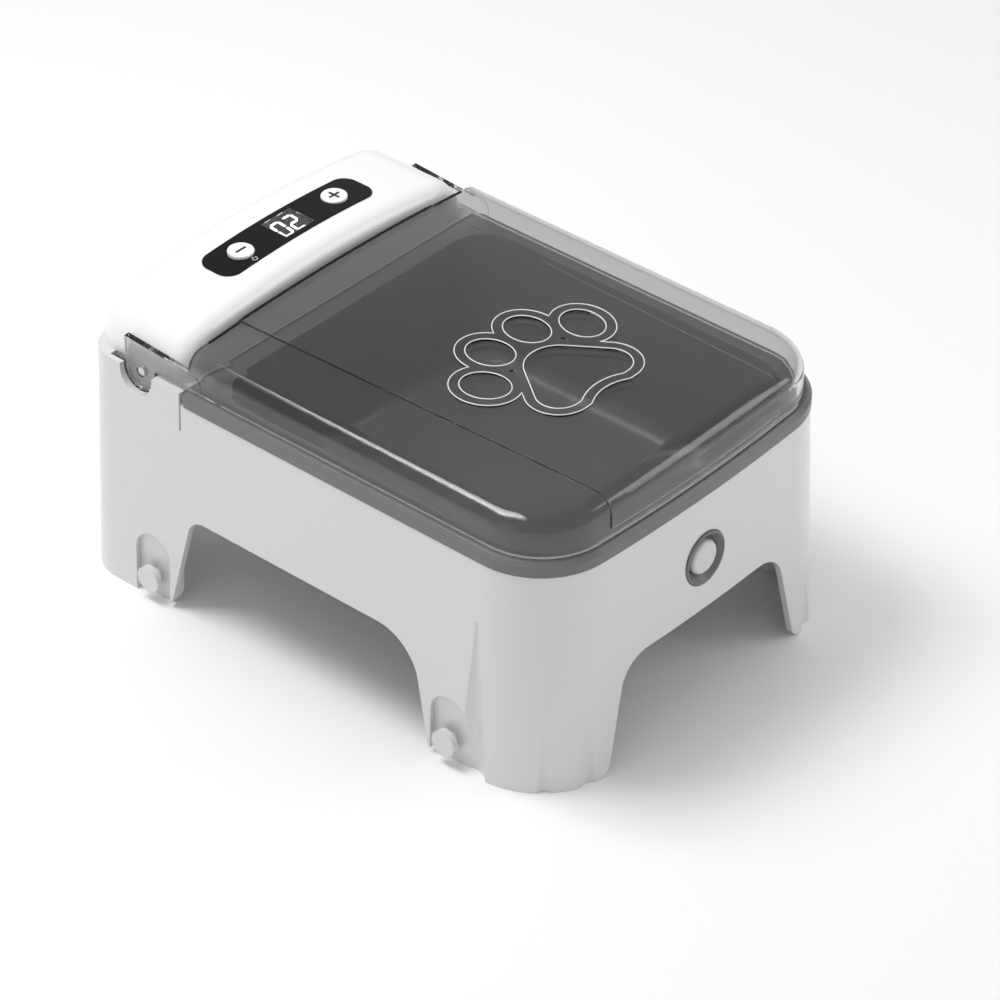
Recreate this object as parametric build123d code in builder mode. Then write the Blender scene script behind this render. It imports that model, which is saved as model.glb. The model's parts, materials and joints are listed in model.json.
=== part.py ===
from build123d import *

import os
from math import cos, radians, sin, tan

# Automatic pet feeder: a food bowl under a clear hinged lid, hung in a four-legged shell, with a
# timer housing behind it. Millimetres. +Z is up, the front with the opening button faces -Y, and
# the origin is on the floor under the middle of the feeder.

# ---- Overall sizes ------------------------------------------------------------------------------
body_width = 167.4
body_length = 230.0
stud_proud = 2.6
lid_height = 115.0
housing_height = 119.8

# ---- Body shell ---------------------------------------------------------------------------------
draft = 2.2
wall = 2.6
front_corner = 33.0
rear_corner = 18.0
front_bow = 4.0
front_reach = 1.6
rim_low = 91.0
rim_top = 96.5
ledge_top = 95.5
deck = 2.5
ledge_width = 9.5
beam_front = 62.4
beam_width = 7.0
arch_height = 44.0
front_arch_foot = 52.0
front_arch_crown = 42.0
side_arch_front = -59.0
side_arch_rear = 68.0
leg_round = 6.0
flute_tip = 0.4
flutes = [(-7.0, 7.5, 3.4, 66.0), (42.0, 3.6, 2.2, 54.0), (71.0, 5.6, 2.8, 64.0)]

# ---- Coupling studs and keyholes ----------------------------------------------------------------
stud_height = 9.5
stud_places = [-68.0, 77.0]
stud_head = 10.4
stud_neck = 4.0
dish_width = 17.0
dish_depth = 2.4
keyhole_clearance = 0.4
keyhole_rise = 9.0

# ---- Bowl ---------------------------------------------------------------------------------------
rim_proud = 0.3
rim_rear = 62.0
rim_bevel = 1.6
rim_thick = 2.6
rim_end_corner = 3.0
rim_land = 9.5
bowl_rear = 53.0
bowl_floor = 50.0
bowl_wall = 2.2
bowl_lean = 14.0
bowl_front_corner = 24.0
bowl_rear_corner = 15.0
bowl_floor_round = 9.0

# ---- Lid and hinge ------------------------------------------------------------------------------
pivot_y = 84.0
pivot_z = 94.0
lid_gap = 0.3
lid_inset = 2.5
lid_wall = 2.2
lid_lean = 2.0
lid_rear = 60.0
lid_crown_rise = 3.2
lid_edge_round = 7.0
band_rise = 0.6
band_rear = 51.0
band_front = 46.0
paw_rise = 0.8
paw_band = 3.8
pad_y = -50.0
toe_size = (7.8, 9.6)
toes = [(26.0, 15.0, -16.0), (9.8, 27.0, -5.0)]
arm_thick = 2.4
arm_top = 106.5
arm_rear = 91.5
lobe_radius = 7.5
pin_radius = 2.0
pin_play = 0.05
hinge_gap = 0.3
spring_end = 60.0
disc_inner = 60.0
disc_thick = 4.0
disc_radius = 9.0
bolt_radius = 2.0
bolt_rise = 5.0
bolt_rest_gap = 0.4

# ---- Timer housing ------------------------------------------------------------------------------
housing_wall = 2.4
housing_front = 63.5
housing_half = 75.0
housing_rear_set = 1.4
crown_drop = 6.6
shoulder_round = 18.0
housing_round = 8.0
housing_rear_corner = 10.0
ear_thick = 5.0
ear_radius = 8.0
post_radius = 3.2
pilot_radius = 1.0
pilot_depth = 5.7

# ---- Control tray and electronics ---------------------------------------------------------------
tray_low = 60.0
tray_wall = 2.0
tray_top = 88.0
tray_half = 68.0
tray_front = 67.0
tray_rear = 107.0
board_top = 109.6
board_thick = 1.6
board_half = 50.0
board_front = 74.0
board_rear = 100.4
screw_head = 2.2
screw_head_depth = 1.8
screw_reach = 5.5
screw_hole = 1.3
cell_radius = 9.2
cell_length = 65.0
cell_x = -6.0
cell_y = 91.0
contact_thick = 0.6
holder_wall = 2.0
door_gap = 0.15
solenoid_x = 30.0
solenoid_length = 22.0
solenoid_width = 14.0
frame_thick = 1.5
coil_radius = 5.0
bolt_play = 0.05
bolt_collar = 3.4
switch_size = 6.0
switch_height = 3.6
switch_plunger = 1.6

# ---- Opening button -----------------------------------------------------------------------------
button_z = 65.0
button_radius = 6.65
button_gap = 0.3
button_travel = 1.2
bezel_radius = 10.5
bezel_flange = 12.0
bezel_plate = 1.2
stem_radius = 2.6
button_posts = 14.8

# ---- Panel, keys and display --------------------------------------------------------------------
panel_length = 79.0
panel_width = 17.5
panel_corner = 6.0
panel_thick = 0.4
panel_y = 84.0
key_radius = 5.0
key_gap = 0.2
key_x = 24.7
key_proud = 0.9
window_length = 15.2
window_width = 13.0
window_low = 117.4
port_x = -42.0
port_z = 106.4
port_width = 9.0
port_height = 3.2

half_width = body_width / 2
half_length = body_length / 2
lean_rate = tan(radians(draft))


def plan(height, half, front, rear, front_radius, rear_radius, bow=0.0):
    """A level outline with rounded corners, its front edge bowed forward."""
    with BuildSketch(Plane.XY.offset(height)) as outline:
        with BuildLine():
            Polyline((half, front + bow), (half, rear), (-half, rear), (-half, front + bow))
            if bow:
                ThreePointArc((-half, front + bow), (0, front), (half, front + bow))
            else:
                Line((-half, front), (half, front))
        make_face()
        if rear_radius:
            fillet(outline.vertices().group_by(Axis.Y)[-1], rear_radius)
        if front_radius:
            fillet(outline.vertices().group_by(Axis.Y)[0], front_radius)
    return outline.sketch


def body_plan(height, inset=0.0):
    """The body's drafted outline at a height, brought in by an inset."""
    lean = height * lean_rate + inset
    return plan(
        height,
        half_width - lean,
        -half_length - front_reach + lean,
        half_length - lean,
        front_corner - lean,
        max(rear_corner - lean, 2.0),
        front_bow,
    )


# ---- Base shell ---------------------------------------------------------------------------------
deck_low = ledge_top - deck
ledge_half = half_width - ledge_top * lean_rate
deck_inset = ledge_width + ledge_top * lean_rate
beam_rear = beam_front + beam_width
button_front = -half_length - front_reach + button_z * lean_rate
button_board_gap = 10.1
button_board_front = button_front + wall + button_board_gap
deck_screws = [(-30.0, 66.4), (30.0, 66.4), (-30.0, 104.6), (30.0, 104.6)]
arm_outer = half_width - rim_top * lean_rate - lid_inset
arm_inner = arm_outer - arm_thick
slot_inner = arm_inner - hinge_gap
slot_outer = arm_outer + hinge_gap
corner_x = half_width - front_corner
corner_y = -half_length - front_reach + front_corner
dish_floor = half_width - stud_height * lean_rate - dish_depth
arm_sweep = Vector(arm_rear - pivot_y, arm_top - pivot_z).length + hinge_gap
lobe_pocket = lobe_radius + hinge_gap + 0.1


def toe_flutes(grow=0.0):
    """The tapering flutes that part the toes of the two front legs, following the wall's draft."""
    with BuildPart() as grooves:
        for side in (-1, 1):
            for turn, radius, depth, height in flutes:
                rings = []
                for level, ring in ((-1.0, radius), (height, flute_tip)):
                    cut = depth if level < height else 0.0
                    reach = front_corner - level * lean_rate + ring - cut
                    across = side * (corner_x + reach * cos(radians(turn)))
                    along = corner_y - reach * sin(radians(turn))
                    with BuildSketch(Plane.XY.offset(level)) as outline:
                        with Locations((across, along)):
                            Circle(ring + grow)
                    rings.append(outline.sketch)
                loft(rings, ruled=True)
    return grooves.part


with BuildPart() as body_form:
    loft([body_plan(0), body_plan(ledge_top)], ruled=True)

with BuildPart() as leg_backing:
    add(toe_flutes(wall))
    for along in stud_places:
        with Locations((-dish_floor, along, stud_height)):
            Box(2 * wall, dish_width + 2 * wall, 2 * stud_height + dish_width)
    add(body_form.part, mode=Mode.INTERSECT)

with BuildPart() as base_shell:
    add(body_form.part)
    loft([body_plan(0, wall), body_plan(deck_low, wall)], ruled=True, mode=Mode.SUBTRACT)
    # The rear deck is open over the control tray, and the front is open for the bowl.
    with BuildSketch(Plane.XY.offset(deck_low)):
        add(body_plan(0, deck_inset))
        with Locations((0, beam_rear - body_length)):
            Rectangle(2 * body_width, 2 * body_length, mode=Mode.SUBTRACT)
    extrude(amount=2 * deck, mode=Mode.SUBTRACT)
    with Locations((0, beam_front - body_length / 2, rim_low + body_length / 2)):
        Box(2 * body_width, body_length, body_length, mode=Mode.SUBTRACT)
    add(leg_backing.part)
    add(toe_flutes(), mode=Mode.SUBTRACT)
    # Arches between the legs: front and rear, then the two sides.
    with BuildSketch(Plane.XZ) as front_arch:
        with BuildLine():
            Polyline(
                (-front_arch_foot - 2 * leg_round, -leg_round),
                (-front_arch_foot - 2 * leg_round, 0),
                (-front_arch_foot, 0),
                (-front_arch_crown, arch_height),
                (front_arch_crown, arch_height),
                (front_arch_foot, 0),
                (front_arch_foot + 2 * leg_round, 0),
                (front_arch_foot + 2 * leg_round, -leg_round),
                close=True,
            )
        make_face()
        fillet(front_arch.vertices().group_by(Axis.Y)[-1], 14.0)
        fillet([v for v in front_arch.vertices() if abs(abs(v.X) - front_arch_foot) < 0.1], leg_round)
    extrude(amount=body_length, both=True, mode=Mode.SUBTRACT)
    with BuildSketch(Plane.YZ) as side_arch:
        with BuildLine():
            Polyline(
                (side_arch_front - 2 * leg_round, -leg_round),
                (side_arch_front - 2 * leg_round, 0),
                (side_arch_front, 0),
                (side_arch_front + 9.0, arch_height),
                (side_arch_rear - 11.0, arch_height),
                (side_arch_rear, 0),
                (side_arch_rear + 2 * leg_round, 0),
                (side_arch_rear + 2 * leg_round, -leg_round),
                close=True,
            )
        make_face()
        fillet(side_arch.vertices().group_by(Axis.Y)[-1].sort_by(Axis.X)[0], 20.0)
        fillet(side_arch.vertices().group_by(Axis.Y)[-1].sort_by(Axis.X)[-1], 8.0)
        feet = (side_arch_front, side_arch_rear)
        fillet([v for v in side_arch.vertices() if min(abs(v.X - f) for f in feet) < 0.1], leg_round)
    extrude(amount=body_width, both=True, mode=Mode.SUBTRACT)
    for along in stud_places:
        # A shallow dish, open at the foot, with a mushroom stud in it.
        with BuildSketch(Plane.YZ.offset(-dish_floor)):
            with Locations((along, stud_height / 2)):
                SlotOverall(3 * stud_height + dish_width, dish_width, rotation=90)
        extrude(amount=-2 * dish_depth, mode=Mode.SUBTRACT)
        with BuildSketch(Plane.YZ.offset(-dish_floor)):
            with Locations((along, stud_height)):
                Circle(stud_neck / 2)
        extrude(amount=-(half_width - dish_floor + 0.2))
        with BuildSketch(Plane.YZ.offset(-half_width)):
            with Locations((along, stud_height)):
                Circle(stud_head / 2)
        extrude(amount=-stud_proud)
        # The matching keyhole in the other side takes a neighbour's stud.
        with BuildSketch(Plane.YZ.offset(half_width)):
            with Locations((along, stud_height)):
                Circle(stud_head / 2 + keyhole_clearance)
            with Locations((along, stud_height + keyhole_rise / 2)):
                SlotCenterToCenter(keyhole_rise, stud_neck + 2 * keyhole_clearance, rotation=90)
        extrude(amount=-4 * wall, mode=Mode.SUBTRACT)
    for side in (-1, 1):
        # Room for the lid's arm: a slot in the shoulder and a notch for its lobe in the wall.
        middle = side * (slot_inner + slot_outer) / 2
        slot_width = slot_outer - slot_inner
        with BuildSketch(Plane.YZ.offset(middle)):
            with Locations((pivot_y, pivot_z)):
                Circle(arm_sweep)
            with Locations((pivot_y - body_length / 2, pivot_z)):
                Rectangle(body_length, body_length, mode=Mode.SUBTRACT)
            with Locations((pivot_y, pivot_z)):
                Circle(lobe_pocket)
            with Locations((pivot_y, ledge_top)):
                Rectangle(2 * lobe_pocket, 2 * (ledge_top - pivot_z))
        extrude(amount=slot_width / 2, both=True, mode=Mode.SUBTRACT)
        with BuildSketch(Plane.YZ.offset(side * slot_inner)):
            with Locations((pivot_y, pivot_z)):
                Circle(lobe_pocket)
            with Locations((pivot_y, ledge_top)):
                Rectangle(2 * lobe_pocket, 2 * (ledge_top - pivot_z))
        extrude(amount=side * body_width, mode=Mode.SUBTRACT)
        # The ear of the housing passes through the deck.
        with Locations((side * (slot_inner - ear_thick), pivot_y, deck_low)):
            Box(2 * ear_thick + 1.0, 2 * lobe_pocket + 3.0, 4 * deck, mode=Mode.SUBTRACT)
        # A post for the button's circuit board.
        with BuildSketch(Plane.XZ.offset(-button_board_front)):
            with Locations((side * button_posts, button_z - 3.0)):
                Circle(2.4)
        extrude(amount=button_board_front - button_front - wall / 2)
        with BuildSketch(Plane.XZ.offset(-button_board_front)):
            with Locations((side * button_posts, button_z - 3.0)):
                Circle(pilot_radius)
        extrude(amount=screw_reach, mode=Mode.SUBTRACT)
        # A short seam below the rear end of the rim.
        with Locations((side * half_width, rim_rear, rim_low - 5.5)):
            Box(2 * (half_width - ledge_half) + 1.6, 0.8, 11.0, mode=Mode.SUBTRACT)

    with BuildSketch(Plane.XZ):
        with Locations((0, button_z)):
            Circle(bezel_radius + 0.2)
    extrude(amount=body_length, mode=Mode.SUBTRACT)
    with BuildSketch(Plane.XY.offset(deck_low)):
        with Locations(*deck_screws):
            Circle(screw_hole)
    extrude(amount=2 * deck, mode=Mode.SUBTRACT)

# ---- Bowl ---------------------------------------------------------------------------------------
rim_half = half_width - rim_low * lean_rate + rim_proud
rim_front = -half_length - front_reach + rim_low * lean_rate - rim_proud
rim_corner = front_corner - rim_low * lean_rate


def tub_plan(height, grow=0.0):
    """The bowl's inner outline at a height, its walls leaning in towards the floor."""
    lean = (rim_top - height) * tan(radians(bowl_lean)) + rim_land - grow
    return plan(
        height,
        rim_half - lean,
        rim_front + lean,
        bowl_rear - lean + rim_land,
        bowl_front_corner,
        bowl_rear_corner,
        front_bow,
    )


def tub_form(grow=0.0):
    """The bowl's cavity, or with the wall added, its outside."""
    with BuildPart() as tub:
        loft([tub_plan(bowl_floor - grow, grow), tub_plan(rim_top, grow)], ruled=True)
        fillet(tub.edges().group_by(Axis.Z)[0], bowl_floor_round + grow)
    return tub.part



def rim_plan(height, inset=0.0):
    """The rim's outline, ending straight across in front of the timer housing."""
    return plan(
        height,
        rim_half - inset,
        rim_front + inset,
        rim_rear - inset,
        rim_corner - inset,
        rim_end_corner,
        front_bow,
    )


with BuildPart() as bowl:
    extrude(rim_plan(rim_low), amount=rim_top - rim_bevel - rim_low)
    loft([rim_plan(rim_top - rim_bevel), rim_plan(rim_top, rim_bevel)], ruled=True)
    extrude(rim_plan(rim_low, wall + 1.0), amount=rim_top - rim_low - rim_thick, mode=Mode.SUBTRACT)
    add(tub_form(bowl_wall))
    add(tub_form(), mode=Mode.SUBTRACT)

# ---- Timer housing ------------------------------------------------------------------------------
housing_rear = half_length - ledge_top * lean_rate - housing_rear_set


def housing_form(inset=0.0, low=ledge_top):
    """The housing's outside, or with an inset, its hollow: a crowned block with soft shoulders."""
    top = housing_height - inset
    half = housing_half - inset
    front = housing_front + inset
    rear = housing_rear - inset
    with BuildPart() as form:
        with BuildSketch(Plane.XZ.offset(-front)) as section:
            with BuildLine():
                Polyline((half, top - crown_drop), (half, low), (-half, low), (-half, top - crown_drop))
                ThreePointArc((-half, top - crown_drop), (0, top), (half, top - crown_drop))
            make_face()
            fillet(section.vertices().group_by(Axis.Y)[-1], shoulder_round - inset)
        extrude(amount=front - rear)
        for end, round_off in ((-1, housing_rear_corner - inset), (0, housing_round - inset)):
            level = form.edges().filter_by(lambda e: e.center().Z > low + 0.1)
            fillet(level.group_by(Axis.Y)[end], round_off)
    return form.part


def crown_height(across):
    """The height of the housing's crowned top at a distance from the middle."""
    chord = housing_half
    crown_radius = (chord**2 + crown_drop**2) / (2 * crown_drop)
    return housing_height - crown_radius + (crown_radius**2 - across**2) ** 0.5


def upright_cylinder(places, radius, low, high):
    """Solid cylinders standing between two heights."""
    with BuildPart() as posts:
        with BuildSketch(Plane.XY.offset(low)):
            with Locations(*places):
                Circle(radius)
        extrude(amount=high - low)
    return posts.part


inner_top = housing_height - housing_wall
key_places = [(-key_x, panel_y), (key_x, panel_y)]
tray_screws = [(-54.0, 73.2), (54.0, 73.2), (-54.0, 98.0), (54.0, 98.0)]
board_screws_at = [(-46.0, 78.0), (46.0, 78.0), (-46.0, 97.0), (46.0, 97.0)]

with BuildPart() as housing_posts:
    add(upright_cylinder(deck_screws, post_radius, ledge_top, inner_top))
    add(upright_cylinder(tray_screws, post_radius, tray_low + tray_wall, inner_top))
    add(upright_cylinder(board_screws_at, post_radius, board_top, inner_top))
    ear_inner = slot_inner - ear_thick
    for side in (-1, 1):
        with BuildSketch(Plane.YZ.offset(side * slot_inner)):
            with Locations((pivot_y, pivot_z)):
                Circle(ear_radius)
            with Locations((pivot_y, pivot_z + ear_radius)):
                Rectangle(2 * ear_radius, 2 * ear_radius)
        extrude(amount=-side * ear_thick)
    with BuildPart(mode=Mode.PRIVATE) as limits:
        add(housing_form(0.0, tray_low))
    add(limits.part, mode=Mode.INTERSECT)

# ---- Lid ----------------------------------------------------------------------------------------
lid_low = rim_top + lid_gap
lid_front = rim_front + lid_inset
lid_corner = rim_corner - lid_inset


def lid_form(grow=0.0, lift=0.0):
    """The lid's solid outside, grown for its raised band or shrunk for its hollow."""
    top = lid_height - band_rise + lift
    half = arm_outer + grow
    reach = lid_rear + 12.0
    with BuildPart() as form:
        outline = plan(lid_low - 1.0, half, lid_front - grow, reach, lid_corner + grow, 0.0, front_bow)
        extrude(outline, amount=lid_height, taper=lid_lean)
        with BuildSketch(Plane.XZ.offset(-reach - 1.0)):
            with BuildLine():
                Polyline((half, top - lid_crown_rise), (half, 0), (-half, 0), (-half, top - lid_crown_rise))
                ThreePointArc((-half, top - lid_crown_rise), (0, top), (half, top - lid_crown_rise))
            make_face()
        extrude(amount=2 * body_length, mode=Mode.INTERSECT)
        rim_edges = form.faces().sort_by(Axis.Z)[-1].edges().filter_by(lambda e: e.center().Y < reach - 5.0)
        fillet(rim_edges, lid_edge_round + grow)
    return form.part


def paw_plan(grow=0.0):
    """Four toe pads and the three-lobed main pad, each grown by the same amount."""
    with BuildSketch(Plane.XY) as paw:
        for side in (-1, 1):
            for across, behind, turn in toes:
                with Locations((side * across, pad_y + behind)):
                    Ellipse(toe_size[0] + grow, toe_size[1] + grow, rotation=side * turn)
        with BuildSketch(mode=Mode.PRIVATE) as pad:
            with Locations((0, pad_y + 3.0)):
                Circle(13.0 + grow)
            with Locations((-13.5, pad_y - 8.0), (13.5, pad_y - 8.0)):
                Circle(8.5 + grow)
            make_hull()
            notch = (0, pad_y - 36.0)
            with Locations(notch):
                Circle(22.5 - grow, mode=Mode.SUBTRACT)
            cusps = [v for v in pad.vertices() if abs((Vector(v) - notch).length - 22.5 + grow) < 0.01]
            fillet(cusps, 3.5)
        add(pad.sketch)
    return paw.sketch


with BuildPart() as lid_shell:
    add(lid_form(-lid_wall, -lid_wall))

with BuildPart() as lid_band:
    with BuildSketch(Plane.XY.offset(lid_low + 4.0)):
        with BuildLine():
            Polyline(
                (band_rear, lid_rear),
                (-band_rear, lid_rear),
                (-band_front, -half_length),
                (band_front, -half_length),
                close=True,
            )
        make_face()
    extrude(amount=lid_height)
    add(lid_form(band_rise, band_rise), mode=Mode.INTERSECT)

with BuildPart() as lid_paw:
    with BuildSketch(Plane.XY.offset(lid_height - 2 * lid_wall)):
        add(paw_plan(paw_band))
        add(paw_plan(), mode=Mode.SUBTRACT)
    extrude(amount=lid_height)
    add(lid_form(band_rise + paw_rise, band_rise + paw_rise), mode=Mode.INTERSECT)

with BuildPart() as lid:
    add(lid_form())
    add(lid_band.part)
    add(lid_paw.part)
    add(lid_shell.part, mode=Mode.SUBTRACT)
    # The rear is open, and the lower edge stands just clear of the rim.
    with Locations((0, lid_rear + body_length / 2, lid_height)):
        Box(2 * body_width, body_length, 2 * lid_height, mode=Mode.SUBTRACT)
    with Locations((0, 0, lid_low - lid_height / 2)):
        Box(2 * body_width, 2 * body_length, lid_height, mode=Mode.SUBTRACT)
    for side in (-1, 1):
        with BuildSketch(Plane.YZ.offset(side * arm_inner)) as arm:
            with BuildLine():
                Polyline(
                    (lid_rear - 6.0, lid_low),
                    (pivot_y, lid_low),
                    (arm_rear, pivot_z),
                    (arm_rear, arm_top),
                    (lid_rear - 6.0, arm_top - 2.5),
                    close=True,
                )
            make_face()
            fillet(arm.vertices().sort_by(Axis.X).group_by(Axis.Y)[-2:][0].sort_by(Axis.X)[-1], 4.0)
            with Locations((pivot_y, pivot_z)):
                Circle(lobe_radius)
                Circle(pin_radius, mode=Mode.SUBTRACT)
        extrude(amount=side * arm_thick)

pin_outer = arm_outer - 0.3
with BuildPart() as hinge_pin_left:
    with BuildSketch(Plane.YZ.offset(-pin_outer)):
        with Locations((pivot_y, pivot_z)):
            Circle(pin_radius)
    extrude(amount=pin_outer - spring_end)
    chamfer(hinge_pin_left.edges().filter_by(GeomType.CIRCLE), 0.3)

with BuildPart() as hinge_pin_right:
    with BuildSketch(Plane.YZ.offset(disc_inner)):
        with Locations((pivot_y, pivot_z)):
            Circle(pin_radius)
    extrude(amount=pin_outer - disc_inner)
    chamfer(hinge_pin_right.edges().filter_by(GeomType.CIRCLE), 0.3)

with BuildPart() as latch_disc:
    with BuildSketch(Plane.YZ.offset(disc_inner)):
        with Locations((pivot_y, pivot_z)):
            Circle(disc_radius)
            Circle(pin_radius, mode=Mode.SUBTRACT)
        with Locations((pivot_y, pivot_z + bolt_rise)):
            Circle(bolt_radius + 0.4, mode=Mode.SUBTRACT)
    extrude(amount=disc_thick)

def coil_spring(start, axis, length, radius, wire, turns):
    """A helical spring of round wire, from its start along an axis."""
    with BuildPart() as spring:
        with BuildLine() as turn:
            Helix(length / turns, length, radius, center=start, direction=axis)
        with BuildSketch(Plane(origin=turn.edges()[0] @ 0, z_dir=turn.edges()[0] % 0)):
            Circle(wire / 2)
        sweep()
    return spring.part


with BuildPart() as torsion_spring:
    start = (-spring_end - 7.2, pivot_y, pivot_z)
    add(coil_spring(start, (1, 0, 0), 5.2, 3.2, 0.9, 4))

# ---- Housing top, panel and keys ----------------------------------------------------------------
with BuildPart() as housing_top:
    add(housing_form())
    add(housing_form(housing_wall, ledge_top - 1.0), mode=Mode.SUBTRACT)
    add(housing_posts.part)
    for side in (-1, 1):
        # The hinge bore runs through each ear.
        with BuildSketch(Plane.YZ.offset(side * (slot_inner + 1.0))):
            with Locations((pivot_y, pivot_z)):
                Circle(pin_radius + pin_play)
        extrude(amount=-side * (ear_thick + 2.0), mode=Mode.SUBTRACT)
    for places, low in ((deck_screws, ledge_top), (tray_screws, tray_low), (board_screws_at, board_top)):
        add(upright_cylinder(places, pilot_radius, low, low + pilot_depth), mode=Mode.SUBTRACT)
    add(upright_cylinder(key_places, key_radius + key_gap, board_top, lid_height * 2), mode=Mode.SUBTRACT)
    with BuildSketch(Plane.XY.offset(board_top)):
        with Locations((0, panel_y)):
            Rectangle(window_length, window_width)
    extrude(amount=lid_height, mode=Mode.SUBTRACT)
    with Locations((port_x, housing_rear, port_z)):
        Box(port_width + 0.4, 6 * housing_wall, port_height + 0.4, mode=Mode.SUBTRACT)

with BuildPart() as panel_overlay:
    with BuildSketch(Plane.XY.offset(board_top)):
        with Locations((0, panel_y)):
            RectangleRounded(panel_length, panel_width, panel_corner)
            Rectangle(window_length, window_width, mode=Mode.SUBTRACT)
        with Locations(*key_places):
            Circle(key_radius + key_gap, mode=Mode.SUBTRACT)
    extrude(amount=lid_height)
    with BuildPart(mode=Mode.PRIVATE) as skin:
        add(housing_form(-panel_thick))
        add(housing_form(), mode=Mode.SUBTRACT)
    add(skin.part, mode=Mode.INTERSECT)

with BuildPart() as display_window:
    with BuildSketch(Plane.XY.offset(window_low)):
        with Locations((0, panel_y)):
            Rectangle(window_length - 0.2, window_width - 0.2)
    extrude(amount=lid_height)
    with BuildPart(mode=Mode.PRIVATE) as skin:
        add(housing_form(-panel_thick))
    add(skin.part, mode=Mode.INTERSECT)


def key(side):
    """A round key with a retaining collar below the housing's wall."""
    place = (side * key_x, panel_y)
    top = crown_height(key_x) + panel_thick + key_proud
    collar_top = crown_height(key_x + key_radius + 1.5) - housing_wall - 0.15
    with BuildPart() as piece:
        add(upright_cylinder([place], key_radius, collar_top - 1.2, top))
        fillet(piece.edges().group_by(Axis.Z)[-1], 0.4)
        add(upright_cylinder([place], key_radius + 1.0, collar_top - 1.2, collar_top))
    return piece.part


with BuildPart() as minus_key:
    add(key(-1))

with BuildPart() as plus_key:
    add(key(1))

# ---- Control tray -------------------------------------------------------------------------------
cell_low = cell_x - cell_length / 2
cell_high = cell_x + cell_length / 2
cell_z = tray_low + tray_wall + 2.2 + cell_radius
bolt_z = pivot_z + bolt_rise
frame_low = bolt_z - coil_radius - frame_thick
door_rear = cell_y + cell_radius + 1.6
door_front = cell_y - cell_radius - 1.6


def screws_up(places, seat):
    """Pan-head screws driven upwards against a seat."""
    with BuildPart() as group:
        add(upright_cylinder(places, screw_head, seat - screw_head_depth, seat))
        chamfer(group.edges().group_by(Axis.Z)[0], 0.5)
        add(upright_cylinder(places, pilot_radius, seat - 0.5, seat + screw_reach))
    return group.part


with BuildPart() as control_tray:
    extrude(plan(tray_low, tray_half, tray_front, tray_rear, 5.0, 5.0), amount=tray_top - tray_low)
    inner_front, inner_rear = tray_front + tray_wall, tray_rear - tray_wall
    hollow = plan(tray_low + tray_wall, tray_half - tray_wall, inner_front, inner_rear, 3.0, 3.0)
    extrude(hollow, amount=tray_top, mode=Mode.SUBTRACT)
    for end, way in ((cell_low - contact_thick, -1), (cell_high + contact_thick, 1)):
        with Locations((end + way * holder_wall / 2, cell_y, tray_low + tray_wall + 10.0)):
            Box(holder_wall, 2 * cell_radius, 20.0)
    pedestal = frame_low - tray_low - tray_wall
    with Locations((solenoid_x + solenoid_length / 2, pivot_y, tray_low + tray_wall + pedestal / 2)):
        Box(solenoid_length, solenoid_width - 4.0, pedestal)
    with Locations((cell_x, (door_front + door_rear) / 2, tray_low)):
        Box(cell_length, door_rear - door_front, 6 * tray_wall, mode=Mode.SUBTRACT)
    hole_top = tray_low + 2 * tray_wall
    add(upright_cylinder(tray_screws, screw_hole, tray_low - 1.0, hole_top), mode=Mode.SUBTRACT)

with BuildPart() as battery_door:
    with Locations((cell_x, (door_front + door_rear) / 2, tray_low + tray_wall / 2)):
        Box(cell_length - 2 * door_gap, door_rear - door_front - 2 * door_gap, tray_wall)
    for across in (cell_x - cell_length / 4, cell_x + cell_length / 4):
        with Locations((across, cell_y, tray_low + tray_wall + 1.6)):
            Box(3.0, 1.4 * cell_radius, 3.2)
        with Locations((across, cell_y, cell_z)):
            Cylinder(cell_radius, 8.0, rotation=(0, 90, 0), mode=Mode.SUBTRACT)

with BuildPart() as battery_cell:
    with Locations((cell_x, cell_y, cell_z)):
        Cylinder(cell_radius, cell_length, rotation=(0, 90, 0))
    fillet(battery_cell.edges(), 0.8)

with BuildPart() as battery_contacts:
    for place in (cell_low - contact_thick / 2, cell_high + contact_thick / 2):
        with Locations((place, cell_y, cell_z + 1.0)):
            Box(contact_thick, 12.0, 15.0)

with BuildPart() as main_board:
    with BuildSketch(Plane.XY.offset(board_top - board_thick)):
        with Locations((0, (board_front + board_rear) / 2)):
            Rectangle(2 * board_half, board_rear - board_front)
        with Locations((port_x, board_rear + 3.2)):
            Rectangle(port_width + 3.0, 7.0)
        with Locations(*board_screws_at):
            Circle(screw_hole, mode=Mode.SUBTRACT)
    extrude(amount=board_thick)

with BuildPart() as display_module:
    with Locations((0, panel_y, (board_top + window_low - 0.2) / 2)):
        Box(window_length + 1.4, window_width + 1.0, window_low - 0.2 - board_top)
    fillet(display_module.edges().filter_by(Axis.Z), 0.6)

with BuildPart() as key_switches:
    with Locations(*[(x, y, board_top + switch_height / 2) for x, y in key_places]):
        Box(switch_size, switch_size, switch_height)
    add(upright_cylinder(key_places, switch_plunger, board_top, board_top + switch_height + 0.9))

with BuildPart() as usb_port:
    with Locations((port_x, housing_rear - 4.6, port_z)):
        Box(port_width, 8.8, port_height)
    fillet(usb_port.edges().filter_by(Axis.Y), 1.2)
    with Locations((port_x, housing_rear, port_z)):
        Box(port_width - 1.0, 9.0, port_height - 1.0, mode=Mode.SUBTRACT)

with BuildPart() as buzzer:
    add(upright_cylinder([(-20.0, 86.0)], 6.0, board_top - board_thick - 6.0, board_top - board_thick))
    sound_low = board_top - board_thick - 6.0
    add(upright_cylinder([(-20.0, 86.0)], 1.0, sound_low, board_top - 5.0), mode=Mode.SUBTRACT)

# ---- Latch --------------------------------------------------------------------------------------
frame_end = solenoid_x + solenoid_length
bolt_tip = disc_inner - bolt_rest_gap
collar_low = bolt_tip - 3.6

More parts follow.
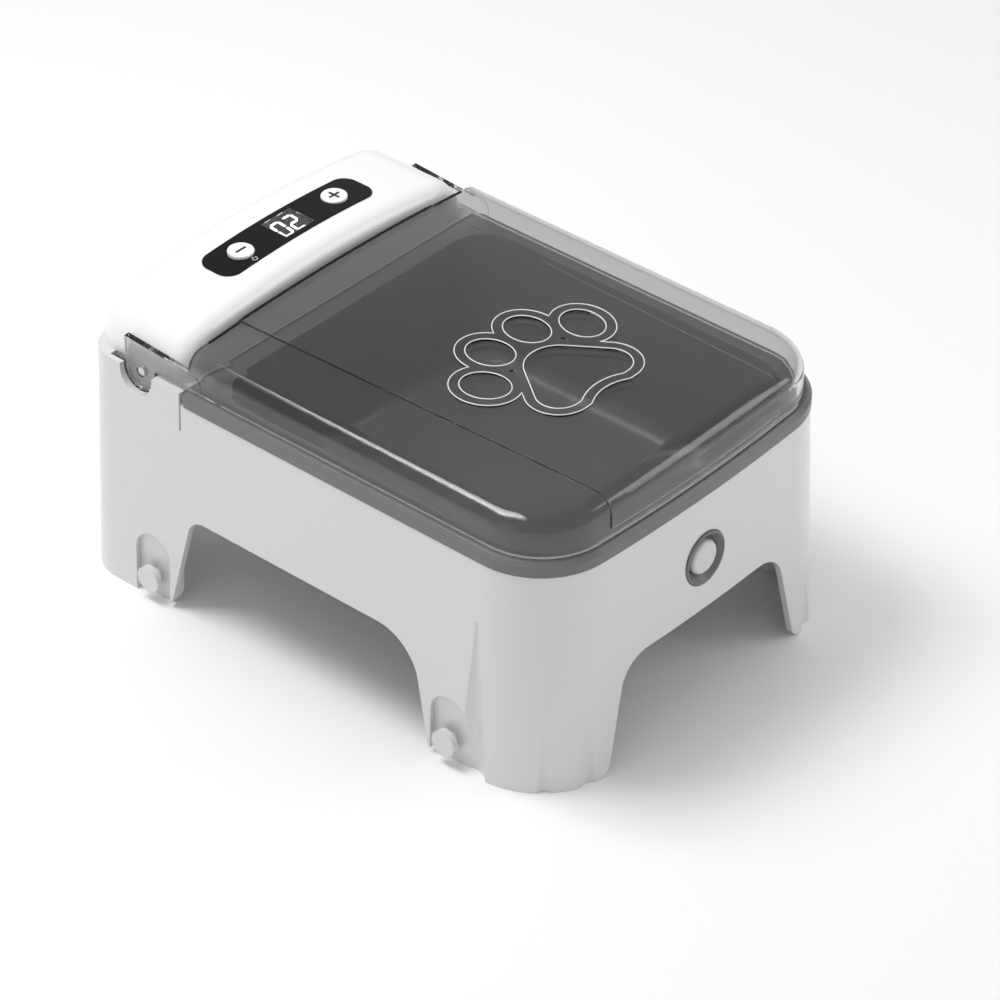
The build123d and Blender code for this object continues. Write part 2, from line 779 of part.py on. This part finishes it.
with BuildPart() as solenoid_frame:
    with BuildSketch(Plane.XZ.offset(-pivot_y)):
        with Locations((solenoid_x + solenoid_length / 2, frame_low + coil_radius + frame_thick)):
            Rectangle(solenoid_length, 2 * (coil_radius + frame_thick))
        with Locations((solenoid_x + solenoid_length / 2, frame_low + coil_radius + 2 * frame_thick)):
            Rectangle(solenoid_length - 2 * frame_thick, 2 * (coil_radius + frame_thick), mode=Mode.SUBTRACT)
    extrude(amount=solenoid_width / 2, both=True)
    with Locations((solenoid_x + solenoid_length / 2, pivot_y, bolt_z)):
        Cylinder(bolt_radius + bolt_play, 2 * solenoid_length, rotation=(0, 90, 0), mode=Mode.SUBTRACT)

with BuildPart() as solenoid_coil:
    with Locations((solenoid_x + solenoid_length / 2, pivot_y, bolt_z)):
        Cylinder(coil_radius, solenoid_length - 2 * frame_thick, rotation=(0, 90, 0))
        Cylinder(bolt_radius + 0.35, solenoid_length, rotation=(0, 90, 0), mode=Mode.SUBTRACT)

with BuildPart() as latch_bolt:
    with BuildSketch(Plane.YZ.offset(solenoid_x - 4.0)):
        with Locations((pivot_y, bolt_z)):
            Circle(bolt_radius)
    extrude(amount=bolt_tip - solenoid_x + 4.0)
    for low, thick in ((solenoid_x - 5.2, 1.2), (collar_low, 1.2)):
        with BuildSketch(Plane.YZ.offset(low)):
            with Locations((pivot_y, bolt_z)):
                Circle(bolt_collar)
        extrude(amount=thick)


with BuildPart() as bolt_spring:
    spring_length = collar_low - frame_end - 0.8
    add(coil_spring((frame_end + 0.4, pivot_y, bolt_z), (1, 0, 0), spring_length, 2.8, 0.4, 3))

# ---- Opening button -----------------------------------------------------------------------------
flange_front = button_front + wall + 0.8
plate_front = flange_front + 3.1
cap_back = plate_front - 3.0
stem_end = plate_front + bezel_plate + 1.2


def round_along_y(radius, front, rear, places=((0.0, 0.0),)):
    """Cylinders along the button's axis, placed from that axis, between two depths."""
    with BuildPart() as rods:
        with BuildSketch(Plane.XZ.offset(-front)):
            with Locations(*[(x, button_z + z) for x, z in places]):
                Circle(radius)
        extrude(amount=front - rear)
    return rods.part


with BuildPart() as button_bezel:
    add(round_along_y(bezel_radius, button_front - 0.5, flange_front))
    fillet(button_bezel.edges().group_by(Axis.Y)[0], 0.4)
    add(round_along_y(bezel_flange, flange_front, flange_front + 1.3))
    add(round_along_y(button_radius + 2.2, flange_front, plate_front + bezel_plate))
    # A dished mouth leads in to the button's bore.
    with BuildSketch(Plane.XZ.offset(0.5 - button_front)):
        with Locations((0, button_z)):
            Circle(bezel_radius - 0.9)
    extrude(amount=-2.6, taper=42, mode=Mode.SUBTRACT)
    add(round_along_y(button_radius + button_gap, button_front - 1.0, plate_front), mode=Mode.SUBTRACT)
    add(round_along_y(stem_radius + pin_play, plate_front - 1.0, plate_front + 3.0), mode=Mode.SUBTRACT)

with BuildPart() as open_button:
    add(round_along_y(button_radius, button_front - 0.4, cap_back))
    fillet(open_button.edges().group_by(Axis.Y)[0], 1.6)
    add(round_along_y(stem_radius, cap_back, stem_end))

with BuildPart() as button_clip:
    add(round_along_y(stem_radius + 1.8, plate_front + bezel_plate + 0.3, plate_front + bezel_plate + 0.9))
    add(round_along_y(stem_radius, plate_front, stem_end), mode=Mode.SUBTRACT)

with BuildPart() as button_spring:
    add(coil_spring((0, cap_back + 0.3, button_z), (0, 1, 0), plate_front - cap_back - 0.6, 3.6, 0.4, 2.5))

with BuildPart() as button_switch:
    plunger_front = stem_end + button_travel + 0.2
    add(round_along_y(1.5, plunger_front, button_board_front - 0.5))
    with Locations((0, button_board_front - 0.75, button_z)):
        Box(switch_size, 1.5, switch_size)

with BuildPart() as button_board:
    with Locations((0, button_board_front + 0.6, button_z - 2.0)):
        Box(2 * button_posts + 5.0, 1.2, 14.0)
    post_places = [(-button_posts, -3.0), (button_posts, -3.0)]
    holes = round_along_y(screw_hole, button_board_front - 1.0, button_board_front + 2.0, post_places)
    add(holes, mode=Mode.SUBTRACT)

with BuildPart() as button_screws:
    seat = button_board_front + 1.2
    add(round_along_y(screw_head, seat, seat + 1.2, post_places))
    add(round_along_y(pilot_radius, seat - screw_reach, seat, post_places))

with BuildPart() as deck_screw_set:
    add(screws_up(deck_screws, deck_low))

with BuildPart() as tray_screw_set:
    add(screws_up(tray_screws, tray_low))

with BuildPart() as board_screw_set:
    add(screws_up(board_screws_at, board_top - board_thick))

# ---- Files --------------------------------------------------------------------------------------
pieces = {
    "base_shell": base_shell,
    "bowl": bowl,
    "housing_top": housing_top,
    "panel_overlay": panel_overlay,
    "display_window": display_window,
    "display_module": display_module,
    "main_board": main_board,
    "key_switches": key_switches,
    "buzzer": buzzer,
    "usb_port": usb_port,
    "control_tray": control_tray,
    "battery_door": battery_door,
    "battery_cell": battery_cell,
    "battery_contacts": battery_contacts,
    "solenoid_frame": solenoid_frame,
    "solenoid_coil": solenoid_coil,
    "button_bezel": button_bezel,
    "button_switch": button_switch,
    "button_board": button_board,
    "button_screws": button_screws,
    "deck_screws": deck_screw_set,
    "tray_screws": tray_screw_set,
    "board_screws": board_screw_set,
    "torsion_spring": torsion_spring,
    "lid": lid,
    "hinge_pin_left": hinge_pin_left,
    "hinge_pin_right": hinge_pin_right,
    "latch_disc": latch_disc,
    "minus_key": minus_key,
    "plus_key": plus_key,
    "open_button": open_button,
    "button_clip": button_clip,
    "button_spring": button_spring,
    "latch_bolt": latch_bolt,
    "bolt_spring": bolt_spring,
}
os.makedirs("parts", exist_ok=True)
for name, piece in pieces.items():
    piece.part.label = name
    export_step(piece.part, f"parts/{name}.step")
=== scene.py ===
import json
from math import cos, pi, radians, sin

import bmesh
import bpy
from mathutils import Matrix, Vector


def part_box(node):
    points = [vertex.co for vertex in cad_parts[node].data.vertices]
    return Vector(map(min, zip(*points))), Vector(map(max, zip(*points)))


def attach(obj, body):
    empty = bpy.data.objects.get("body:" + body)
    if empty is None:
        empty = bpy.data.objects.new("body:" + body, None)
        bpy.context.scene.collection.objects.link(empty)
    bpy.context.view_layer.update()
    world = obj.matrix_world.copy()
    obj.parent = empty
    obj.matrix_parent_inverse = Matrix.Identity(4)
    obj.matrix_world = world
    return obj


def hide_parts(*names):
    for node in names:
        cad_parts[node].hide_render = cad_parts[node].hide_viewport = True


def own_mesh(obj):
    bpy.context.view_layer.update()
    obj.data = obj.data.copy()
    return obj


MM = 0.001

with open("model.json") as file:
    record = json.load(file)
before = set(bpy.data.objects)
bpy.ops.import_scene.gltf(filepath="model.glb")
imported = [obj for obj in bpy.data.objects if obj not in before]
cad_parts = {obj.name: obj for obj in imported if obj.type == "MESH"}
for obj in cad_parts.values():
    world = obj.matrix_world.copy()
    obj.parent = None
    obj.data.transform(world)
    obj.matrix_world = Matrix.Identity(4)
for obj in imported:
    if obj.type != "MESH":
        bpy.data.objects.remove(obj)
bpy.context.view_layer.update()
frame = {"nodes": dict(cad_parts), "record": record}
nodes = frame["nodes"]


# ---- Materials ----------------------------------------------------------------------------------
edge_radius = 0.4 * MM


def plastic(
    name, color, roughness, grain=0.0, grain_scale=900.0, coat=0.0, metallic=0.0, specular=0.5
):
    """A solid finish. grain is the height in metres of a fine moulded or brushed texture."""
    material = bpy.data.materials.new(name)
    material.use_nodes = True
    tree = material.node_tree
    shader = tree.nodes["Principled BSDF"]
    shader.inputs["Base Color"].default_value = (*color, 1.0)
    shader.inputs["Roughness"].default_value = roughness
    shader.inputs["Metallic"].default_value = metallic
    shader.inputs["Specular IOR Level"].default_value = specular
    shader.inputs["Coat Weight"].default_value = coat
    shader.inputs["Coat Roughness"].default_value = 0.06
    # Moulded edges are rounded finely, so that each one catches the light.
    edge = tree.nodes.new("ShaderNodeBevel")
    edge.samples = 6
    edge.inputs["Radius"].default_value = edge_radius
    tree.links.new(edge.outputs["Normal"], shader.inputs["Normal"])
    if grain:
        place = tree.nodes.new("ShaderNodeTexCoord")
        noise = tree.nodes.new("ShaderNodeTexNoise")
        noise.inputs["Scale"].default_value = grain_scale
        noise.inputs["Detail"].default_value = 3.0
        bump = tree.nodes.new("ShaderNodeBump")
        bump.inputs["Strength"].default_value = 0.4
        bump.inputs["Distance"].default_value = grain
        tree.links.new(place.outputs["Object"], noise.inputs["Vector"])
        tree.links.new(noise.outputs["Fac"], bump.inputs["Height"])
        tree.links.new(edge.outputs["Normal"], bump.inputs["Normal"])
        tree.links.new(bump.outputs["Normal"], shader.inputs["Normal"])
    return material


def clear(name, color, roughness):
    """A clear finish with a tint."""
    material = plastic(name, color, roughness)
    shader = material.node_tree.nodes["Principled BSDF"]
    shader.inputs["Transmission Weight"].default_value = 1.0
    shader.inputs["IOR"].default_value = 1.45
    return material


def glowing(name, color, strength):
    """A lit finish."""
    material = plastic(name, color, 0.4)
    shader = material.node_tree.nodes["Principled BSDF"]
    shader.inputs["Emission Color"].default_value = (*color, 1.0)
    shader.inputs["Emission Strength"].default_value = strength
    return material


finishes = {
    "white_shell": plastic("white_shell", (0.66, 0.66, 0.665), 0.24, grain=0.00001, coat=0.3),
    "bowl_grey": plastic("bowl_grey", (0.15, 0.15, 0.153), 0.34, grain=0.00002),
    "clear_lid": clear("clear_lid", (0.72, 0.725, 0.73), 0.03),
    "panel_black": plastic("panel_black", (0.004, 0.004, 0.004), 0.35, specular=0.15),
    "display_grey": clear("display_grey", (0.62, 0.62, 0.63), 0.05),
    "module_white": plastic("module_white", (0.70, 0.70, 0.69), 0.5, grain=0.00001),
    "key_white": plastic("key_white", (0.86, 0.86, 0.86), 0.3, coat=0.2),
    "button_light": plastic("button_light", (0.62, 0.62, 0.63), 0.25, coat=0.3),
    "board_green": plastic(
        "board_green", (0.02, 0.17, 0.07), 0.4, grain=0.00001, grain_scale=2500.0
    ),
    "switch_black": plastic("switch_black", (0.03, 0.03, 0.03), 0.45),
    "cell_wrap": plastic("cell_wrap", (0.05, 0.20, 0.45), 0.35, coat=0.4),
    "steel": plastic(
        "steel", (0.60, 0.60, 0.60), 0.3, metallic=1.0, grain=0.00001, grain_scale=3000.0
    ),
    "nickel": plastic("nickel", (0.68, 0.67, 0.62), 0.25, metallic=1.0),
    "copper": plastic("copper", (0.60, 0.28, 0.12), 0.35, metallic=1.0),
}
ink = plastic("key_ink", (0.02, 0.02, 0.02), 0.5)
display_face = plastic("display_face", (0.09, 0.09, 0.092), 0.5)
print_white = plastic("panel_print", (0.80, 0.80, 0.80), 0.5)
segment_lit = glowing("segment_lit", (0.95, 0.95, 0.95), 2.5)

# The housing top is painted a lighter copy of the shell's white than the legs. This is painted light,
# standing in for the stronger light that falls on the housing.
housing_painted_lighter_white = plastic("housing_painted_lighter_white", (0.86, 0.86, 0.865), 0.22, grain=0.00001, coat=0.3)

for part in frame["record"]["subparts"]:
    holder = nodes[part["node"]]
    if not holder.material_slots:
        holder.data.materials.append(None)
    for slot in holder.material_slots:
        slot.link = "OBJECT"
        slot.material = finishes[part["material_slot"]]
        # The housing top takes the lighter copy of the shell white: painted light.
        if part["node"] == "housing_top":
            slot.material = housing_painted_lighter_white


# ---- Printed and lit marks ----------------------------------------------------------------------
def surface(node, x, y):
    """The height of a CAD node's top face at a place seen from above."""
    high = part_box(node)[1].z + 0.01
    found, point, _, _ = nodes[node].ray_cast(Vector((x, y, high)), Vector((0, 0, -1)))
    if not found:
        raise ValueError(f"{node} has no face at {x:.4f}, {y:.4f}")
    return point.z


def mark(name, outlines, height_at, thickness, material, body):
    """Flat prisms that follow a surface. Each outline is a closed run of (x, y) corners."""
    vertices, faces = [], []
    for outline in outlines:
        start, count = len(vertices), len(outline)
        for lift in (0.0, thickness):
            vertices += [(x, y, height_at(x, y) + lift) for x, y in outline]
        faces.append([start + i for i in reversed(range(count))])
        faces.append([start + count + i for i in range(count)])
        for i in range(count):
            after = (i + 1) % count
            faces.append([start + i, start + after, start + count + after, start + count + i])
    mesh = bpy.data.meshes.new(name)
    mesh.from_pydata(vertices, [], faces)
    mesh.materials.append(material)
    piece = bpy.data.objects.new(name, mesh)
    bpy.context.collection.objects.link(piece)
    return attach(piece, body)


def bar(x, y, length, width):
    """A rectangle's corners, with its length along X."""
    a, b = length / 2, width / 2
    return [(x - a, y - b), (x + a, y - b), (x + a, y + b), (x - a, y + b)]


def middle(node):
    low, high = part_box(node)
    return (low + high) / 2


sign_length, sign_width = 5.2 * MM, 1.1 * MM
ink_depth = 0.02 * MM
minus, plus = middle("minus_key"), middle("plus_key")
arm_shift = (sign_length + sign_width) / 4
arm_length = (sign_length - sign_width) / 2
for name, centre, outlines in (
    ("minus_sign", minus, [bar(minus.x, minus.y, sign_length, sign_width)]),
    ("plus_sign", plus, [
        bar(plus.x, plus.y, sign_length, sign_width),
        bar(plus.x, plus.y + arm_shift, sign_width, arm_length),
        bar(plus.x, plus.y - arm_shift, sign_width, arm_length),
    ]),
):
    key = name.replace("sign", "key")
    # The ink starts at the lowest point of the key face under it, so that it never floats.
    level = min(surface(key, x, y) for outline in outlines for x, y in outline)
    top = surface(key, centre.x, centre.y)
    thickness = max(ink_depth, top - level + ink_depth / 2)
    mark(name, outlines, lambda x, y, z=level: z, thickness, ink, key)

# A generic power symbol stands where the photograph has lettering beside the minus key.
symbol_drop, symbol_line = 7.0 * MM, 0.35 * MM
print_depth = 0.04 * MM
symbol_x, symbol_y = minus.x, minus.y - symbol_drop
ring_outer, ring_inner, ring_gap = 1.15 * MM, 0.8 * MM, radians(40)
steps = 22
ring = []
for i in range(steps):
    a0 = pi / 2 + ring_gap + (2 * pi - 2 * ring_gap) * i / steps
    a1 = pi / 2 + ring_gap + (2 * pi - 2 * ring_gap) * (i + 1) / steps
    ring.append([
        (symbol_x + r * cos(a), symbol_y + r * sin(a))
        for r, a in ((ring_inner, a0), (ring_outer, a0), (ring_outer, a1), (ring_inner, a1))
    ])
ring.append(bar(symbol_x, symbol_y + ring_outer * 0.75, symbol_line, ring_outer))
mark(
    "power_symbol", ring, lambda x, y: surface("panel_overlay", x, y), print_depth, print_white, "base"
)

# Seven-segment digits lie on the display module, under the window, and read from the front.
segment_width, digit_half, digit_height = 1.2 * MM, 2.1 * MM, 9.2 * MM
segment_gap, segment_depth = 0.12 * MM, 0.1 * MM
digit_shift = 3.2 * MM
slant = 0.12
digits = {
    "0": "abcdef",
    "2": "abged",
}
face = middle("display_module")


def segment(kind, x, y):
    """A pointed bar of a digit whose centre is at x, y."""
    h, w, t = digit_half, digit_height / 2, segment_width / 2
    gap = segment_gap
    flat = {"a": w, "g": 0.0, "d": -w}
    if kind in flat:
        v = flat[kind]
        points = [(-h + gap, v), (-h + t + gap, v + t), (h - t - gap, v + t), (h - gap, v),
                  (h - t - gap, v - t), (-h + t + gap, v - t)]
    else:
        u = h if kind in "bc" else -h
        low, high = (0.0, w) if kind in "bf" else (-w, 0.0)
        low, high = low + gap, high - gap
        points = [(u, low), (u + t, low + t), (u + t, high - t), (u, high),
                  (u - t, high - t), (u - t, low + t)]
    return [(x + px + slant * py, y + py) for px, py in points]


module_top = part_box("display_module")[1].z
for name, digit, offset in (("digit_tens", "0", -digit_shift), ("digit_units", "2", digit_shift)):
    outlines = [segment(kind, face.x + offset, face.y) for kind in digits[digit]]
    mark(name, outlines, lambda x, y: module_top, segment_depth, segment_lit, "base")

# The module's face is dark around its digits.
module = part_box("display_module")
mask_edge, mask_depth = 0.4 * MM, 0.03 * MM
mark("display_mask", [bar(face.x, face.y, module[1].x - module[0].x - 2 * mask_edge,
                          module[1].y - module[0].y - 2 * mask_edge)],
     lambda x, y: module_top, mask_depth, display_face, "base")

# A thin dark strip on the rear edge of the lid is painted shade. It stands in for the dark gap between
# the lid and the housing.
lid_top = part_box("lid")[1].z
shade_strip_y, shade_strip_half, shade_strip_width, shade_strip_depth = 59.2 * MM, 67.0 * MM, 1.1 * MM, 0.25 * MM
shade_strip_steps = 36
shade_strip = []
for i in range(shade_strip_steps):
    x0 = -shade_strip_half + 2 * shade_strip_half * i / shade_strip_steps
    x1 = -shade_strip_half + 2 * shade_strip_half * (i + 1) / shade_strip_steps
    shade_strip.append([(x0, shade_strip_y - shade_strip_width / 2), (x1, shade_strip_y - shade_strip_width / 2),
                 (x1, shade_strip_y + shade_strip_width / 2), (x0, shade_strip_y + shade_strip_width / 2)])
mark(
    "lid_rear_shade_strip", shade_strip, lambda x, y: surface("lid", x, y), shade_strip_depth, finishes["panel_black"], "lid"
)

# Thin light tubes along the sharp edges of the lid's raised paw are painted highlights. They stand in
# for the light that the edges catch, which shows as fine bright contours.
contour_low = lid_top - 2.6 * MM
paw_front, paw_rear, paw_half = -92.0 * MM, -8.0 * MM, 44.0 * MM
lid_mesh = bmesh.new()
lid_mesh.from_mesh(nodes["lid"].data)
bmesh.ops.remove_doubles(lid_mesh, verts=lid_mesh.verts, dist=0.005 * MM)
sharp = radians(50)
shortest_contour = 15 * MM
contour_radius = 0.22 * MM


def on_paw(edge):
    """Whether an edge of the lid's mesh is one of the paw's sharp raised edges."""
    inside = all(
        v.co.z > contour_low and abs(v.co.x) < paw_half and paw_front < v.co.y < paw_rear
        for v in edge.verts
    )
    return inside and len(edge.link_faces) == 2 and edge.calc_face_angle_signed(0.0) > sharp


links = {}
for edge in filter(on_paw, lid_mesh.edges):
    a, b = (v.index for v in edge.verts)
    links.setdefault(a, []).append(b)
    links.setdefault(b, []).append(a)
lid_mesh.verts.ensure_lookup_table()
contour = bpy.data.curves.new("paw_painted_highlight", "CURVE")
contour.dimensions = "3D"
contour.bevel_depth = contour_radius
contour.bevel_resolution = 3
unused = set(links)
while unused:
    run = [unused.pop()]
    while True:
        after = [i for i in links[run[-1]] if i in unused]
        if not after:
            break
        run.append(after[0])
        unused.discard(after[0])
    places = [lid_mesh.verts[i].co for i in run]
    if sum((b - a).length for a, b in zip(places, places[1:])) < shortest_contour:
        continue
    spline = contour.splines.new("POLY")
    spline.points.add(len(run) - 1)
    for point, i in zip(spline.points, run):
        point.co = (*lid_mesh.verts[i].co, 1.0)
    spline.use_cyclic_u = run[0] in links[run[-1]]
# The tubes' light colour is a painted highlight.
contour.materials.append(plastic("painted_highlight_edge", (0.85, 0.86, 0.87), 0.12, coat=0.6))
contour_piece = bpy.data.objects.new("paw_painted_highlight", contour)
bpy.context.collection.objects.link(contour_piece)
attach(contour_piece, "lid")
lid_mesh.free()

# ---- Springs ------------------------------------------------------------------------------------
# The table lists each spring's joint and the end that bears on a fixed piece: the bolt spring at its
# low end along X, and the button spring at its high end along Y. Only the node is read. Each spring is
# copied as a steel coil on the base, and the original is hidden.
for node, joint, along, end in (
    ("bolt_spring", "latch_bolt_slide", 0, 0),
    ("button_spring", "open_button_press", 1, 1),
):
    coil = bpy.data.objects.new(node + "_coil", nodes[node].data.copy())
    coil.data.materials.clear()
    coil.data.materials.append(finishes["steel"])
    bpy.context.collection.objects.link(coil)
    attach(coil, "base")
    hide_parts(node)
    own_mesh(coil)

# ---- Floor, light and camera --------------------------------------------------------------------
floor_size = 12.0
light_target = Vector((0, 0, 0.06))
bpy.ops.mesh.primitive_plane_add(size=floor_size, location=(0, 0, 0))
floor = bpy.context.object
floor.name = "floor"
floor.data.materials.append(plastic("floor", (0.93, 0.93, 0.93), 0.8))

world = bpy.data.worlds.new("studio")
bpy.context.scene.world = world
world.use_nodes = True
world.node_tree.nodes["Background"].inputs["Color"].default_value = (1.0, 1.0, 1.0, 1.0)
world.node_tree.nodes["Background"].inputs["Strength"].default_value = 0.58
bpy.context.scene.view_settings.view_transform = "Standard"


def softbox(name, place, size, power):
    """A square area light aimed at the object."""
    light = bpy.data.lights.new(name, "AREA")
    light.size = size
    light.energy = power
    holder = bpy.data.objects.new(name, light)
    holder.location = place
    aim = light_target - Vector(place)
    holder.rotation_euler = aim.to_track_quat("-Z", "Y").to_euler()
    bpy.context.collection.objects.link(holder)


softbox("key_light", (-0.25, 0.35, 1.0), 0.45, 6.5)
softbox("front_fill", (0.7, -0.8, 0.5), 0.5, 2.0)
softbox("left_fill", (-1.1, 0.1, 0.35), 0.5, 0.4)

azimuth, elevation, distance = radians(-48.69), radians(35.86), 1.6366
target = Vector((-0.0272, -0.0428, 0.07065))
back = Vector((sin(azimuth) * cos(elevation), -cos(azimuth) * cos(elevation), sin(elevation)))
lens = bpy.data.cameras.new("camera")
lens.lens = 167.2
lens.sensor_width = 36.0
lens.clip_start = 0.01
camera = bpy.data.objects.new("camera", lens)
camera.location = target + distance * back
camera.rotation_euler = (-back).to_track_quat("-Z", "Y").to_euler()
bpy.context.collection.objects.link(camera)
bpy.context.scene.camera = camera
